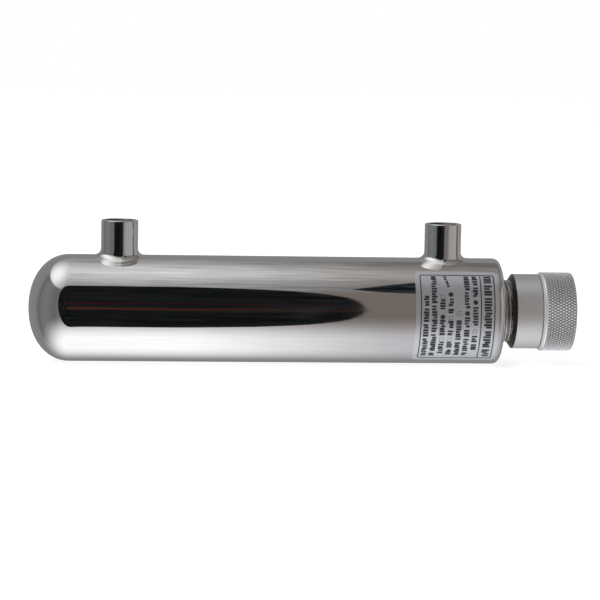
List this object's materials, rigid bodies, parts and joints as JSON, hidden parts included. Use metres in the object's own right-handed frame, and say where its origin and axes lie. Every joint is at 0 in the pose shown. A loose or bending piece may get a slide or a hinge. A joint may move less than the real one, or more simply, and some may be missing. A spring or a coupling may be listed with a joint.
{
  "type": "inline uv clarifier",
  "caption": "Inline UV clarifier: polished steel chamber with two threaded ports, quartz sleeve, gland nut, UV lamp and a knurled screw cap over the lamp socket.",
  "frame": {"origin": "on the chamber's axis, midway between the two ports", "axes": "+X along the chamber's axis towards the lamp cap, +Z along the ports out of their mouths, -Y towards the label"},
  "size_m": [0.2615, 0.0511, 0.0674],
  "materials": {
    "polished_steel": "mirror polished stainless steel with faint polishing lines",
    "threaded_steel": "machined stainless steel thread",
    "label_foil": "satin silver foil with a printed frame",
    "spring_steel": "drawn stainless wire",
    "quartz": "clear fused quartz",
    "lamp_glass": "clear lamp glass",
    "black_rubber": "matte moulded rubber",
    "nylon": "natural nylon",
    "satin_aluminium": "satin turned aluminium",
    "knurled_aluminium": "diamond-knurled aluminium",
    "ceramic": "white lamp ceramic",
    "plated_brass": "plated contact brass",
    "tungsten": "coiled tungsten wire",
    "socket_plastic": "black moulded plastic"
  },
  "bodies": {
    "chamber": {"chamber_tube": "polished_steel", "dome_end": "polished_steel", "shoulder_end": "polished_steel", "threaded_neck": "threaded_steel", "inlet_port": "polished_steel", "outlet_port": "polished_steel", "rating_label": "label_foil", "sleeve_centring_spring": "spring_steel"},
    "sleeve": {"quartz_sleeve": "quartz", "sleeve_oring": "black_rubber"},
    "gland_washer": {"thrust_washer": "nylon"},
    "gland_nut": {"gland_nut": "satin_aluminium"},
    "lamp": {"lamp_glass": "lamp_glass", "lamp_end_cap": "ceramic", "lamp_base": "ceramic", "lamp_pin_1": "plated_brass", "lamp_pin_2": "plated_brass", "lamp_pin_3": "plated_brass", "lamp_pin_4": "plated_brass", "return_wire_1": "spring_steel", "return_wire_2": "spring_steel", "filament_far": "tungsten", "filament_near": "tungsten"},
    "socket": {"lamp_socket": "socket_plastic", "socket_contact_1": "plated_brass", "socket_contact_2": "plated_brass", "socket_contact_3": "plated_brass", "socket_contact_4": "plated_brass"},
    "cable_exit": {"cable_grommet": "black_rubber"},
    "cap": {"lamp_cap": "knurled_aluminium", "cap_gasket": "black_rubber"}
  },
  "joints": [
    {"name": "sleeve_withdraw", "type": "slide", "parent": "chamber", "child": "sleeve", "axis": [1, 0, 0], "range_m": [0, 0.24]},
    {"name": "gland_travel", "type": "slide", "parent": "sleeve", "child": "gland_washer", "axis": [1, 0, 0], "range_m": [0, 0.0091]},
    {"name": "gland_turn", "type": "hinge", "parent": "gland_washer", "child": "gland_nut", "pos_m": [0.117, 0, 0], "axis": [1, 0, 0], "range_deg": [0, 1800]},
    {"name": "lamp_withdraw", "type": "slide", "parent": "gland_washer", "child": "lamp", "axis": [1, 0, 0], "range_m": [0, 0.24]},
    {"name": "socket_unplug", "type": "slide", "parent": "lamp", "child": "socket", "axis": [1, 0, 0], "range_m": [0, 0.012]},
    {"name": "cap_travel", "type": "slide", "parent": "socket", "child": "cable_exit", "axis": [1, 0, 0], "range_m": [0, 0.0106]},
    {"name": "cap_turn", "type": "hinge", "parent": "cable_exit", "child": "cap", "pos_m": [0.132, 0, 0], "axis": [1, 0, 0], "range_deg": [0, 2520]}
  ],
  "couplings": [
    {"joint": "gland_travel", "follows": "gland_turn", "m_per_rad": 0.00028871},
    {"joint": "cap_travel", "follows": "cap_turn", "m_per_rad": 0.00023873}
  ]
}
